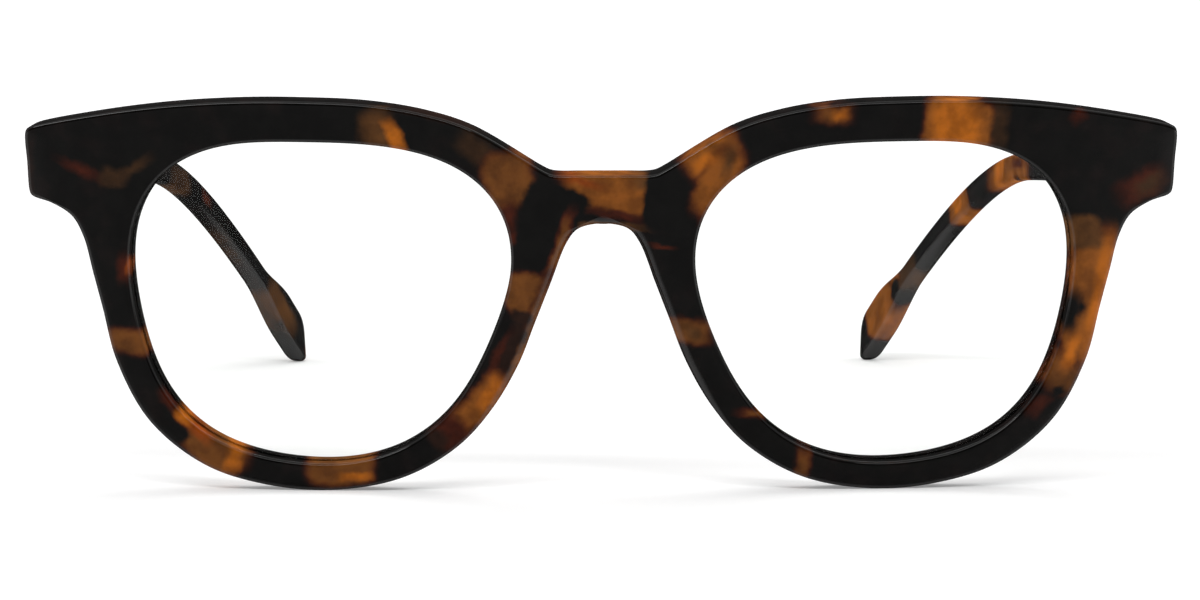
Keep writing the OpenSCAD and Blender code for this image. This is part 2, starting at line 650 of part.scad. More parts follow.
front();
lens(true);  // lens_left
lens(false);  // lens_right
nose_pad(true);  // nose_pad_left
nose_pad(false);  // nose_pad_right
hinge_front_leaf(true);  // hinge_front_leaf_left
hinge_front_leaf(false);  // hinge_front_leaf_right
front_leaf_screws(true);  // front_leaf_screws_left
front_leaf_screws(false);  // front_leaf_screws_right
hinge_screw(true);  // hinge_screw_left
hinge_screw(false);  // hinge_screw_right
temple(true);  // temple_left
temple(false);  // temple_right
temple_core(true);  // temple_core_left
temple_core(false);  // temple_core_right
hinge_temple_leaf(true);  // hinge_temple_leaf_left
hinge_temple_leaf(false);  // hinge_temple_leaf_right
temple_leaf_screws(true);  // temple_leaf_screws_left
temple_leaf_screws(false);  // temple_leaf_screws_right
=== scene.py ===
# Tortoiseshell acetate glasses with a heavier brow, open and standing on a white floor
import json
import math

import bmesh
import bpy
import numpy as np
from mathutils import Matrix, Vector


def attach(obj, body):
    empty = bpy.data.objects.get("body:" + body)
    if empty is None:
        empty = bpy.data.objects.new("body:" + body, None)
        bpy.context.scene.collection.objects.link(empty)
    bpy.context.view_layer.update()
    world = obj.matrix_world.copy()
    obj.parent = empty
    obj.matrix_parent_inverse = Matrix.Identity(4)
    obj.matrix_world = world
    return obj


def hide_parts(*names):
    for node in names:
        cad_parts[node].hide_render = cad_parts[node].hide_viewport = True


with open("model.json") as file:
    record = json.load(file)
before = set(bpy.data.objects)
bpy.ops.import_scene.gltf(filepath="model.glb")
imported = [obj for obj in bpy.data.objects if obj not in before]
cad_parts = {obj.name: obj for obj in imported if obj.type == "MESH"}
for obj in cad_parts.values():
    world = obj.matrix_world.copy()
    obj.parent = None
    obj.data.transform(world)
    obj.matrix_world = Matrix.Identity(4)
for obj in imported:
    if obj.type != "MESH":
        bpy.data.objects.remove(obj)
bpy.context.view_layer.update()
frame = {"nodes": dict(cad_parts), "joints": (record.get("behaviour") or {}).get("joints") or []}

MM = 0.001

# Lens openings, in millimetres, as in the part's source
LENS_W = 45.9
LENS_H = 39.9
LENS_GAP = 23.8
LENS_T = 1.8
GROOVE_DEPTH = 0.6
GROOVE_W = 1.0
GROOVE_AHEAD = 0.2
GROOVE_FLANK = 0.1
LENS_FIT = 0.1
TRACE = np.array([24.7, 25.8, 21.6, 18.9, 20.5, 23, 21.2, 19.9, 20.6, 21, 22.6, 24.2])

# Front
FRONT_W = 141.6
FRONT_T = 4.4
BEND_R = 450.0
BROW_H = 5.1
BROW_PEAK_OUT = 6.9
BROW_END_FALL = 3.8
BROW_NOSE_FALL = 3.9
BROW_NOSE_OUT = 2.7
RIM_LOW = 3.4
RIM_SIDE = 4.0
RIM_NOSE = 4.4
EDGE_R = 0.5

# Bridge and nose pads
BRIDGE_TOP = 15.1
BRIDGE_H = 6.2
NOSE_GAP = 9.4
NOSE_ANGLE = 21.3
NOSE_TOP_Z = 6.0
ARCH_R = 3.6
VALLEY_R = 3.5
NOSE_BEVEL = 1.3
BEVEL_GONE = 228.0
BEVEL_FADE = 22.0
PAD_DEPTH = 2.8
PAD_W = 2.6
PAD_FROM = 179.0
PAD_TO = 213.0
PAD_END_W = 0.55
GLUE_T = 0.05

# End pieces
END_LOW = 11.8
END_SLOPE = 18.0
END_DRAFT = 0.5
CORNER_R = 1.0
NOTCH_R = 5.8
SIDE_ANGLE = 76.0
END_REACH = 8.0
VALLEY_REACH = 5.0
NOSE_HEIGHTS = np.array([1.5, -3.5, -8.5])
BROW_FROM_END = np.array([8.0, 17.0, 26.0])
BROW_FROM_PEAK = np.array([3.0, 11.0, 18.0, 24.0])

# Temples
TEMPLE_LEN = 145.0
TEMPLE_T = 3.8
EAR_T = 2.8
EAR_H = 3.8
TIP_H = 7.9
TIP_LEN = 18.0
TIP_SLANT = 2.6
STRAIGHT_LEN = 82.0
EAR_R = 72.0
EAR_ANGLE = 51.0
TOE_IN = 4.8
TIP_INWARD = 14.7
PANTO = 10.3
TEMPLE_EDGE_R = 0.9
TAPER_POWER = 1.3
TIP_SWELL = 0.6
TIP_ROUNDING = 0.45
INWARD_LEAD = 8.0

# Hinges
BARREL_H = 1.2
BARREL_R = 1.4
BARREL_GAP = 0.05
SWING_GAP = 0.15
PIN_BACK = 2.5
LEAF_T = 1.0
LEAF_RIM = 0.35
FRONT_LEAF_W = 6.6
TEMPLE_LEAF_L = 10.5
LEAF_SETBACK = 1.0
SINK_FIT = 0.03
BUTT_GAP = 0.15
CORE_D = 1.2
CORE_OUT = 0.35
CORE_START = 1.0

# Fineness of the surfaces: length along an outline, points round an edge, and counts of rows and spokes
OUTLINE_STEP = 0.45
LEAST_STEPS = 4
EDGE_STEPS = 7
FACE_ROWS = 5
SEAM_ROWS = 10
LENS_SPOKES = 180
LENS_RINGS = 12
PAD_ROWS = 60
TEMPLE_ROWS = 190
TIP_ROWS = 16
CORNER_STEPS = 7
WALL_ROWS = 4
ROD_SIDES = 24

# Meshes: points nearer than this, in metres, are one, and edges past this angle are sharp
SAME_POINT = 2e-6
NO_LENGTH = 1e-6
SHARP_ANGLE = 40.0
LENS_SHARP_ANGLE = 30.0

# How far a cutter reaches past the face that it cuts
CUT_PAST = 1.0


def unit(v):
    """Vectors divided by their lengths."""
    return v / np.linalg.norm(v, axis=-1, keepdims=True)


def towards(angle):
    """Unit vector of the plane at an angle in degrees."""
    return np.array([math.cos(math.radians(angle)), math.sin(math.radians(angle))])


def fade(f):
    """0 below 0, 1 above 1, and 3 f^2 - 2 f^3 between."""
    f = np.clip(f, 0, 1)
    return f * f * (3 - 2 * f)


# Lens opening and rim, in the front's plane, with the lens centre at height 0
SCALE_X = LENS_W / (TRACE[0] + TRACE[6])
SCALE_Z = LENS_H / (TRACE[3] + TRACE[9])
LENS_X = LENS_GAP / 2 + TRACE[6] * SCALE_X
END_X = FRONT_W / 2
BROW_X = LENS_X + BROW_PEAK_OUT
BROW_TOP = TRACE[3] * SCALE_Z + BROW_H
BROW_NOSE_X = LENS_GAP / 2 + BROW_NOSE_OUT
END_TOP = BROW_TOP - BROW_END_FALL
BRIDGE_LOW = BRIDGE_TOP - BRIDGE_H
GROOVE_V = FRONT_T / 2 - GROOVE_AHEAD


def traced_radius(deg):
    """Trigonometric polynomial through the traced radii, which lie at equal angles."""
    n = len(TRACE)
    t = np.radians(np.asarray(deg, float)[..., None] - 360 / n * np.arange(n))
    weights = 1 + 2 * sum(np.cos(k * t) for k in range(1, n // 2)) + np.cos(n / 2 * t)
    return (weights / n) @ TRACE


def opening(deg):
    """Point of the lens opening: the traced radius along a spoke, scaled to the opening's size."""
    a, r = np.radians(deg), traced_radius(deg)
    return np.stack([LENS_X + SCALE_X * r * np.cos(a), SCALE_Z * r * np.sin(a)], -1)


def opening_out(deg):
    """Unit normal of the opening: its tangent over one degree, turned outwards."""
    t = opening(deg + 0.5) - opening(deg - 0.5)
    return unit(np.stack([t[..., 1], -t[..., 0]], -1))


def rim(deg):
    """The rim's outer edge: the opening moved out by a width that changes with the cosine's square."""
    deg = np.asarray(deg, float)
    c = np.cos(np.radians(deg))
    width = RIM_LOW + (np.where(c > 0, RIM_SIDE, RIM_NOSE) - RIM_LOW) * c * c
    return opening(deg) + width[..., None] * opening_out(deg)


def brow(x):
    """Brow line: from its peak it falls as a square towards the end piece and as a cube to the nose."""
    x = np.asarray(x, float)
    out = BROW_END_FALL * ((x - BROW_X) / (END_X - BROW_X)) ** 2
    to_nose = BROW_NOSE_FALL * ((BROW_X - x) / (BROW_X - BROW_NOSE_X)) ** 3
    return np.stack([x, BROW_TOP - np.where(x > BROW_X, out, to_nose)], -1)


def nose(z):
    """Straight nose edge, slanting outwards as it goes down."""
    z = np.asarray(z, float)
    return np.stack([NOSE_GAP / 2 + (NOSE_TOP_Z - z) * math.tan(math.radians(NOSE_ANGLE)), z], -1)


def fillet(a, c, b, r):
    """Start, middle and end of a corner's rounding: the circle of radius r that touches both sides of c."""
    u, v = unit(a - c), unit(b - c)
    half = math.acos(u @ v) / 2
    t = r / math.tan(half)
    return np.array([c + u * t, c + unit(u + v) * (r / math.sin(half) - r), c + v * t])


def meet(p, d, q, e):
    """Crossing of the line through p along d with the line through q along e."""
    along = np.linalg.solve(np.array([d, -e]).T, q - p)
    return p + d * along[0]


def mirrored(q):
    """The point on the other half."""
    return q * np.array([-1.0, 1.0])


def outline_knots():
    """Angles of the spokes and the outline's points, from the bridge's middle round the lens and back."""
    rim_end = rim(357.0)
    low_corner = np.array([END_X - END_DRAFT, END_LOW])
    top_corner = brow(END_X)
    notch = meet(rim_end, towards(SIDE_ANGLE), low_corner, towards(END_SLOPE))
    valley_fall = (BROW_TOP - BRIDGE_TOP) / BROW_NOSE_FALL
    valley = brow(BROW_X - (BROW_X - BROW_NOSE_X) * valley_fall ** (1 / 3))
    arch = np.array([0, BRIDGE_LOW])
    bridge = np.array([0, BRIDGE_TOP])
    arch_corner = fillet(arch, nose(BRIDGE_LOW), nose(-9.0), ARCH_R)
    notch_corner = fillet(rim_end, notch, low_corner, NOTCH_R)
    valley_corner = fillet(brow(valley[0] + VALLEY_REACH), valley, bridge, VALLEY_R)
    rim_angles = np.array([216, 232, 250, 270, 290, 308, 325, 342, 357.0])
    runs = [
        ([166], [arch]),
        ([167.5, 169.5, 172.5], arch_corner),
        ([180, 190, 202], nose(NOSE_HEIGHTS)),
        (rim_angles, rim(rim_angles)),
        ([363], [(rim_end + notch_corner[0]) / 2]),
        ([368, 371, 374], notch_corner),
        ([376.5, 378, 380], fillet(notch, low_corner, top_corner, CORNER_R)),
        ([386], [(low_corner + top_corner) / 2]),
        ([391, 393, 395], fillet(low_corner, top_corner, brow(END_X - END_REACH), CORNER_R)),
        ([400, 410, 432], brow(END_X - BROW_FROM_END)),
        ([450, 468, 482, 495], brow(BROW_X - BROW_FROM_PEAK)),
        ([505, 509, 512], valley_corner),
        ([515, 518.5], [valley_corner[2] * [0.5, 0] + [0, BRIDGE_TOP], bridge]),
    ]
    return np.concatenate([r[0] for r in runs]), np.concatenate([r[1] for r in runs])


KNOT_ANGLES, KNOT_POINTS = outline_knots()


def outline(deg):
    """Curve through the knots, with each stretch a cubic that is evened out by the distances' roots."""
    deg = np.asarray(deg, float)
    points = np.vstack([mirrored(KNOT_POINTS[1]), KNOT_POINTS, mirrored(KNOT_POINTS[-2])])
    i = np.clip(np.searchsorted(KNOT_ANGLES, deg, side="right") - 1, 0, len(KNOT_ANGLES) - 2)
    f = (deg - KNOT_ANGLES[i]) / (KNOT_ANGLES[i + 1] - KNOT_ANGLES[i])
    p, q, r, s = (points[i + k] for k in range(4))

    def root_gap(a, b):
        return np.maximum(np.sqrt(np.linalg.norm(a - b, axis=-1)), 0.001)

    def mix(a, b, start, end):
        share = ((t - start) / (end - start))[..., None]
        return a * (1 - share) + b * share

    zero = np.zeros_like(f)
    first = root_gap(p, q)
    second = first + root_gap(q, r)
    third = second + root_gap(r, s)
    t = first + (second - first) * f
    pq, qr, rs = mix(p, q, zero, first), mix(q, r, first, second), mix(r, s, second, third)
    return mix(mix(pq, qr, zero, second), mix(qr, rs, first, third), first, second)


def bent(q, v):
    """Bends the plane to a cylinder: a point at depth v lies on the circle of radius BEND_R - v."""
    c = np.sqrt(BEND_R * BEND_R - q[..., 0] ** 2)
    x = q[..., 0] * (1 - v / BEND_R)
    return np.stack([x, BEND_R - c + v * c / BEND_R, q[..., 1] + 0 * v], -1)


# A temple's axes at its seat on the end piece's back face
SEAT_X = END_X * (1 - FRONT_T / BEND_R) - TEMPLE_T / 2
SEAT_Z = (END_TOP + END_LOW) / 2
SEAT_TURN = math.asin(SEAT_X / BEND_R)
SEAT = bent(np.array([SEAT_X / (1 - FRONT_T / BEND_R), SEAT_Z]), np.float64(FRONT_T))
TILT = Matrix.Rotation(math.radians(-PANTO), 3, "X")
TEMPLE_AXES = np.array(TILT @ Matrix.Rotation(math.radians(TOE_IN), 3, "Z"))
END_AXES = np.array(Matrix.Rotation(SEAT_TURN, 3, "Z"))
PIN_X = -TEMPLE_T / 2 - BARREL_R - SWING_GAP

# The leaves' heights: five barrels with their gaps at the front, the middle three at the temple
FRONT_LEAF_H = 5 * BARREL_H + 4 * BARREL_GAP + 2 * LEAF_RIM
TEMPLE_LEAF_H = 3 * BARREL_H + 2 * BARREL_GAP + 2 * LEAF_RIM


def at_temple(p):
    """From a temple's own axes to the front's: turned by toe-in and tilt, then moved to the seat."""
    return SEAT + p @ TEMPLE_AXES.T


def at_end(p):
    """From the axes of the end piece's back face to the front's."""
    return SEAT + p @ END_AXES.T


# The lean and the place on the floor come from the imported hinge: its axis and its pin
LEFT_FOLD = next(j for j in frame["joints"] if j["name"] == "temple_left_fold")
LEAN = math.radians(PANTO) - math.atan2(LEFT_FOLD["axis"][1], LEFT_FOLD["axis"][2])
LEAN_AXES = np.array(Matrix.Rotation(LEAN, 3, "X"))
PIN_AT_REST = at_temple(np.array([PIN_X, PIN_BACK, 0.0])) @ LEAN_AXES.T
STAND_SHIFT = np.array(LEFT_FOLD["pos_m"]) - PIN_AT_REST * MM


def stand(p):
    """Tips the front's axes by the lean and moves them onto the floor, in metres."""
    return p @ LEAN_AXES.T * MM + STAND_SHIFT


def on_side(p, left):
    """The wearer's left as it is, or its mirror image."""
    return p if left else p * np.array([-1.0, 1.0, 1.0])


# Meshes
def grid_faces(rows, columns, closed_rows=False, closed_columns=False, start=0):
    """Quads between neighbours of a grid of vertices that are numbered row by row."""
    i = np.arange(rows if closed_rows else rows - 1)[:, None]
    j = np.arange(columns if closed_columns else columns - 1)[None, :]
    k, m = (i + 1) % rows, (j + 1) % columns
    quads = [i * columns + j, i * columns + m, k * columns + m, k * columns + j]
    return start + np.stack(quads, -1).reshape(-1, 4)


def capped_faces(rows, columns):
    """Faces of a tube: quads between closed rings, and the first and last ring as a cap each."""
    last = (rows - 1) * columns
    caps = [list(range(columns)), list(range(last, last + columns))]
    return grid_faces(rows, columns, closed_columns=True).tolist() + caps


def make_piece(name, points, faces, sharp_angle=SHARP_ANGLE):
    """A mesh object of points in metres: doubles merged, faces outwards, sharp only past the angle."""
    mesh = bpy.data.meshes.new(name)
    mesh.from_pydata(points.tolist(), [], [list(map(int, f)) for f in faces])
    tidy = bmesh.new()
    tidy.from_mesh(mesh)
    bmesh.ops.remove_doubles(tidy, verts=tidy.verts, dist=SAME_POINT)
    bmesh.ops.dissolve_degenerate(tidy, edges=tidy.edges, dist=NO_LENGTH)
    bmesh.ops.recalc_face_normals(tidy, faces=tidy.faces)
    tidy.to_mesh(mesh)
    tidy.free()
    mesh.shade_smooth()
    mesh.set_sharp_from_angle(angle=math.radians(sharp_angle))
    piece = bpy.data.objects.new(name, mesh)
    bpy.context.scene.collection.objects.link(piece)
    return piece


def sink(piece, cutters):
    """Cuts closed shapes out of a piece, and keeps the result as its mesh."""
    for cutter in cutters:
        cut = piece.modifiers.new("sink", "BOOLEAN")
        cut.operation = "DIFFERENCE"
        cut.solver = "EXACT"
        cut.object = cutter
    graph = bpy.context.evaluated_depsgraph_get()
    mesh = bpy.data.meshes.new_from_object(piece.evaluated_get(graph))
    piece.modifiers.clear()
    piece.data = mesh
    mesh.shade_smooth()
    mesh.set_sharp_from_angle(angle=math.radians(SHARP_ANGLE))
    for cutter in cutters:
        bpy.data.objects.remove(cutter)


def block(low, high, place, left):
    """A cutter: the box between two corners in a piece's own axes, put where place says."""
    spans = list(zip(low, high))
    corners = np.array([[x, y, z] for x in spans[0] for y in spans[1] for z in spans[2]])
    faces = [(0, 1, 3, 2), (4, 6, 7, 5), (0, 4, 5, 1), (2, 3, 7, 6), (0, 2, 6, 4), (1, 5, 7, 3)]
    return make_piece("cutter", stand(on_side(place(corners), left)), faces)


def rod(start, end, radius, place, left):
    """A cutter: a round rod along Y in a piece's own axes, from the start to the end's depth."""
    a = 2 * np.pi * np.arange(ROD_SIDES) / ROD_SIDES
    x, z = start[0] + radius * np.cos(a), start[2] + radius * np.sin(a)
    points = np.concatenate([np.stack([x, np.full(ROD_SIDES, y), z], -1) for y in (start[1], end)])
    faces = capped_faces(2, ROD_SIDES)
    return make_piece("cutter", stand(on_side(place(points), left)), faces)


# Front: a profile carried round each lens opening, joined to its mirror image at the middle of the bridge
def quarter(radius, steps=EDGE_STEPS):
    """Inset and depth round a quarter circle, from the face to the wall."""
    t = np.linspace(0, np.pi / 2, steps)
    return np.stack([radius * (1 - np.sin(t)), radius * (1 - np.cos(t))], -1)


def inner_profile():
    """From the front face over the edge, into the lens groove and out to the back face: inset and depth."""
    near, far = GROOVE_V - GROOVE_W / 2, GROOVE_V + GROOVE_W / 2
    floor_near, floor_far = near + GROOVE_FLANK, far - GROOVE_FLANK
    groove = np.array([[0, near], [GROOVE_DEPTH, floor_near], [GROOVE_DEPTH, floor_far], [0, far]])
    edge = quarter(EDGE_R)
    back = edge[::-1] * [1, -1] + [0, FRONT_T]
    return np.concatenate([edge, groove, back])


def bevel_width(deg):
    """The bevel is full along the arch and the nose edge, and fades out along the rim."""
    return EDGE_R + (NOSE_BEVEL - EDGE_R) * fade((BEVEL_GONE - deg) / BEVEL_FADE)


def outer_profile(deg):
    """From the back face over the edge and the outer wall to the bevelled front edge: inset and depth."""
    back = np.broadcast_to(quarter(EDGE_R) * [1, -1] + [0, FRONT_T], (len(deg), EDGE_STEPS, 2))
    front = quarter(1.0)[::-1][None] * bevel_width(deg)[:, None, None]
    return np.concatenate([back, front], 1)


def spokes():
    """Angles with even steps along the outline, and at least a few steps between two knots."""
    lengths = np.linalg.norm(np.diff(KNOT_POINTS, axis=0), axis=1)
    counts = np.maximum(LEAST_STEPS, np.ceil(lengths / OUTLINE_STEP)).astype(int)
    runs = [np.linspace(a, b, n, endpoint=False) for a, b, n in zip(KNOT_ANGLES, KNOT_ANGLES[1:], counts)]
    return np.concatenate(runs + [KNOT_ANGLES[-1:]])


def across_face(start, end, depth):
    """Rows between two borders of a flat face, straight from one to the other and then bent."""
    shares = (np.arange(FACE_ROWS) + 1) / (FACE_ROWS + 1)
    q = start[:, None] + (end - start)[:, None] * shares[None, :, None]
    return bent(q, np.full(q.shape[:-1], depth))


def front_half():
    """Rings round the lens, then the rows that close the bridge's middle: both as grids of points."""
    deg = spokes()
    edge = outline(deg)
    padded = np.vstack([mirrored(edge[1]), edge, mirrored(edge[-2])])
    tangent = unit(padded[2:] - padded[:-2])
    inwards = np.stack([-tangent[:, 1], tangent[:, 0]], -1)
    inner, outer = inner_profile(), outer_profile(deg)

    def inner_at(angles):
        q = opening(angles)[:, None] + opening_out(angles)[:, None] * inner[None, :, :1]
        return q, bent(q, np.broadcast_to(inner[:, 1], q.shape[:-1]))

    inner_q, inner_points = inner_at(deg)
    outer_q = edge[:, None] + inwards[:, None] * outer[..., :1]
    outer_points = bent(outer_q, outer[..., 1])
    back_rows = across_face(inner_q[:, -1], outer_q[:, 0], FRONT_T)
    front_rows = across_face(outer_q[:, -1], inner_q[:, 0], 0.0)
    rings = np.concatenate([inner_points, back_rows, outer_points, front_rows], 1)

    share = np.linspace(0, 1, SEAM_ROWS)
    seam_deg = deg[-1] + share * (360 + deg[0] - deg[-1])
    seam_q, seam_inner = inner_at(seam_deg)
    top = BRIDGE_TOP - EDGE_R
    back_q = np.stack([0 * share, top - share * (BRIDGE_H - 2 * EDGE_R)], -1)
    front_q = np.stack([0 * share, top - share * (BRIDGE_H - EDGE_R - NOSE_BEVEL)], -1)
    seam = np.concatenate([
        bent(front_q, 0 * share)[:, None],
        across_face(front_q, seam_q[:, 0], 0.0),
        seam_inner,
        across_face(seam_q[:, -1], back_q, FRONT_T),
        bent(back_q, 0 * share + FRONT_T)[:, None]], 1)
    return rings, seam


def make_front():
    """Both halves as grids, merged at the middle, with the sinks for the hinge leaves cut from the back."""
    points, faces, start = [], [], 0
    rings, seam = front_half()
    for left in (True, False):
        for grid, closed in ((rings, True), (seam, False)):
            rows, columns = grid.shape[:2]
            points.append(stand(on_side(grid.reshape(-1, 3), left)))
            faces.append(grid_faces(rows, columns, closed_columns=closed, start=start))
            start += rows * columns
    piece = make_piece("front_shell", np.concatenate(points), np.concatenate(faces))
    half_h = FRONT_LEAF_H / 2 + SINK_FIT
    outer_x = -TEMPLE_T / 2 - SINK_FIT
    low = [outer_x - FRONT_LEAF_W - SINK_FIT, -LEAF_T - SINK_FIT, -half_h]
    high = [outer_x + SINK_FIT, CUT_PAST, half_h]
    sink(piece, [block(low, high, at_end, left) for left in (True, False)])
    return piece


# Lenses: a bent sheet whose edge steps down to the width of the groove
def make_lens(left):
    """Rings from the middle of one face over the stepped edge to the middle of the other, then bent."""
    deg = np.linspace(0, 360, LENS_SPOKES, endpoint=False)
    edge_t = GROOVE_W - 2 * GROOVE_FLANK - 2 * LENS_FIT
    shares = np.linspace(0, 1, LENS_RINGS)[1:]
    body, rim_out = -LENS_FIT, GROOVE_DEPTH - LENS_FIT
    faces_v = (GROOVE_V - LENS_T / 2, GROOVE_V + LENS_T / 2)
    steps = [(f, body, faces_v[0]) for f in shares]
    steps += [(1, body, GROOVE_V - edge_t / 2), (1, rim_out, GROOVE_V - edge_t / 2)]
    steps += [(1, rim_out, GROOVE_V + edge_t / 2), (1, body, GROOVE_V + edge_t / 2)]
    steps += [(f, body, faces_v[1]) for f in shares[::-1]]
    centre = np.array([LENS_X, 0.0])
    rows = []
    for share, grown, v in steps:
        q = centre + share * (opening(deg) + grown * opening_out(deg) - centre)
        rows.append(bent(q, np.full(len(deg), v)))
    poles = [bent(centre, np.float64(v)) for v in faces_v]
    points = np.concatenate(rows + [np.array(poles)])
    n, last = LENS_SPOKES, (len(rows) - 1) * LENS_SPOKES
    k = np.arange(n)
    fans = [np.stack([np.full(n, len(points) - 2), k, (k + 1) % n], -1),
            np.stack([np.full(n, len(points) - 1), last + (k + 1) % n, last + k], -1)]
    faces = grid_faces(len(rows), n, closed_columns=True).tolist() + np.concatenate(fans).tolist()
    return make_piece("lens_sheet_" + side_name(left), stand(on_side(points, left)), faces, LENS_SHARP_ANGLE)


def side_name(left):
    """The wearer's side."""
    return "left" if left else "right"


# Nose pads: a mound's section, as shares of its width and depth, how often its corners are cut, and the
# share of its length that is left off at each end
PAD_SECTION = np.array([[1, 0], [0.95, 0.4], [0.72, 0.8], [0.38, 1], [0.08, 0.88], [-0.08, 0.55], [0, 0.22]])
PAD_CUTS = 3
PAD_TIP_SHARE = 0.004


def make_pad(left):
    """A mound along the nose edge: one section, rounded by cutting its corners, that swells and shrinks."""
    section = PAD_SECTION
    for _ in range(PAD_CUTS):
        a, b = section[:-1], section[1:]
        cut = np.stack([0.75 * a + 0.25 * b, 0.25 * a + 0.75 * b], 1).reshape(-1, 2)
        section = np.concatenate([section[:1], cut[1:-1], section[-1:]])
    f = np.linspace(PAD_TIP_SHARE, 1 - PAD_TIP_SHARE, PAD_ROWS)
    deg = PAD_FROM + (PAD_TO - PAD_FROM) * f
    swell = np.sqrt(np.sin(np.pi * f))
    width = PAD_W * (PAD_END_W + (1 - PAD_END_W) * swell)
    t = unit(outline(deg + 0.5) - outline(deg - 0.5))
    inwards = np.stack([-t[:, 1], t[:, 0]], -1)
    foot = np.full((PAD_ROWS, 1), EDGE_R)
    inset = np.concatenate([section[None, :, 0] * width[:, None], foot], 1)
    height = np.concatenate([section[None, :, 1] * (PAD_DEPTH * swell)[:, None], 0 * foot], 1)
    q = outline(deg)[:, None] + inwards[:, None] * inset[..., None]
    grid = bent(q, FRONT_T + GLUE_T + height)
    points = stand(on_side(grid.reshape(-1, 3), left))
    return make_piece("pad_mound_" + side_name(left), points, capped_faces(*grid.shape[:2]))


# Temples: a rounded rectangle carried along a straight run, an arc over the ear and a straight tip
TEMPLE_TOTAL = TEMPLE_LEN + PIN_BACK
TEMPLE_H = (END_TOP - END_LOW) * math.cos(math.radians(PANTO))
TIP_START = TEMPLE_TOTAL - TIP_LEN
TIP_ROUND = TIP_ROUNDING * TIP_H
TIP_END_SHARE = 0.03
INWARD_START = STRAIGHT_LEN - INWARD_LEAD
MOST_ROUND = 0.96


def temple_height(s):
    """Falls by a power to the ear, then swells over the tip."""
    taper = np.maximum(1 - s / STRAIGHT_LEN, 0) ** TAPER_POWER
    swell = fade((s - TIP_START) / (TIP_SWELL * TIP_LEN))
    return EAR_H + (TEMPLE_H - EAR_H) * taper + (TIP_H - EAR_H) * swell


def temple_thickness(s):
    """Fades from the hinge to the ear."""
    return TEMPLE_T + (EAR_T - TEMPLE_T) * fade(s / STRAIGHT_LEN)


def temple_path(s):
    """Place and slope of the middle line: straight, an arc of radius EAR_R, then straight."""
    a = np.clip((s - STRAIGHT_LEN) / EAR_R, 0, math.radians(EAR_ANGLE))
    rest = np.maximum(0, s - STRAIGHT_LEN - EAR_R * math.radians(EAR_ANGLE))
    y = np.minimum(s, STRAIGHT_LEN) + EAR_R * np.sin(a) + rest * np.cos(a)
    return y, -EAR_R * (1 - np.cos(a)) - rest * np.sin(a), a


def rounded_rectangles(width, height):
    """A rounded rectangle for each width and height: four quarter circles with straight rows between."""
    radius = np.minimum(TEMPLE_EDGE_R, np.minimum(width, height) / 2 * MOST_ROUND)
    corners = []
    for quarter_turn, (sx, sz) in enumerate([(1, 1), (-1, 1), (-1, -1), (1, -1)]):
        a = np.pi / 2 * (quarter_turn + np.linspace(0, 1, CORNER_STEPS))
        x = sx * (width / 2 - radius)[:, None] + radius[:, None] * np.cos(a)
        z = sz * (height / 2 - radius)[:, None] + radius[:, None] * np.sin(a)
        corners.append(np.stack([x, z], -1))
    shares = ((np.arange(WALL_ROWS) + 1) / (WALL_ROWS + 1))[None, :, None]
    sections = []
    for corner, following in zip(corners, corners[1:] + corners[:1]):
        start, end = corner[:, -1:], following[:, :1]
        sections += [corner, start + (end - start) * shares]
    return np.concatenate(sections, 1)


def temple_grid():
    """Rounded rectangles along the middle line: the last ones shrink as a circle does, the tip's lean by the
    slant, all move inwards by a square behind the straight run, and the first lie along the end piece."""
    straight = np.linspace(0, TEMPLE_TOTAL - TIP_ROUND, TEMPLE_ROWS)
    tip = TEMPLE_TOTAL - TIP_ROUND * (1 - np.sin(np.linspace(0, np.pi / 2, TIP_ROWS)[1:]))
    s = np.concatenate([straight, tip])
    f = np.clip((s - TEMPLE_TOTAL + TIP_ROUND) / TIP_ROUND, 0, 1)
    shrink = np.maximum(np.sqrt(1 - f * f), TIP_END_SHARE)
    p = rounded_rectangles(temple_thickness(s) * shrink, temple_height(s) * shrink)
    rise = p[..., 1] / temple_height(s)[:, None] + 0.5
    u = s[:, None] - TIP_SLANT * rise * fade((s - TIP_START) / TIP_LEN)[:, None]
    y, z, a = temple_path(u)
    inward = TIP_INWARD * (np.maximum(u - INWARD_START, 0) / (TEMPLE_TOTAL - INWARD_START)) ** 2
    x = (TEMPLE_T - temple_thickness(s)[:, None]) / 2 - inward + p[..., 0]
    grid = np.stack([x, y + p[..., 1] * np.sin(a), z + p[..., 1] * np.cos(a)], -1)
    normal = END_AXES[:, 1] @ TEMPLE_AXES
    seat_y = -(normal[0] * grid[0, :, 0] + normal[2] * grid[0, :, 2]) / normal[1]
    grid[0, :, 1] = seat_y + BUTT_GAP
    return grid


def make_temple(left):
    """The temple's sections as one closed skin, with the leaf's sink and the core wire's mouth cut out."""
    grid = at_temple(temple_grid())
    points = stand(on_side(grid.reshape(-1, 3), left))
    piece = make_piece("temple_shell_" + side_name(left), points, capped_faces(*grid.shape[:2]))
    half_h = TEMPLE_LEAF_H / 2 + SINK_FIT
    low = [-TEMPLE_T / 2 - CUT_PAST, LEAF_SETBACK - SINK_FIT, -half_h]
    high = [-TEMPLE_T / 2 + LEAF_T + SINK_FIT, LEAF_SETBACK + TEMPLE_LEAF_L + SINK_FIT, half_h]
    mouth = rod([CORE_OUT, -2 * CUT_PAST, 0.0], CORE_START, CORE_D / 2 + SINK_FIT, at_temple, left)
    sink(piece, [block(low, high, at_temple, left), mouth])
    return piece


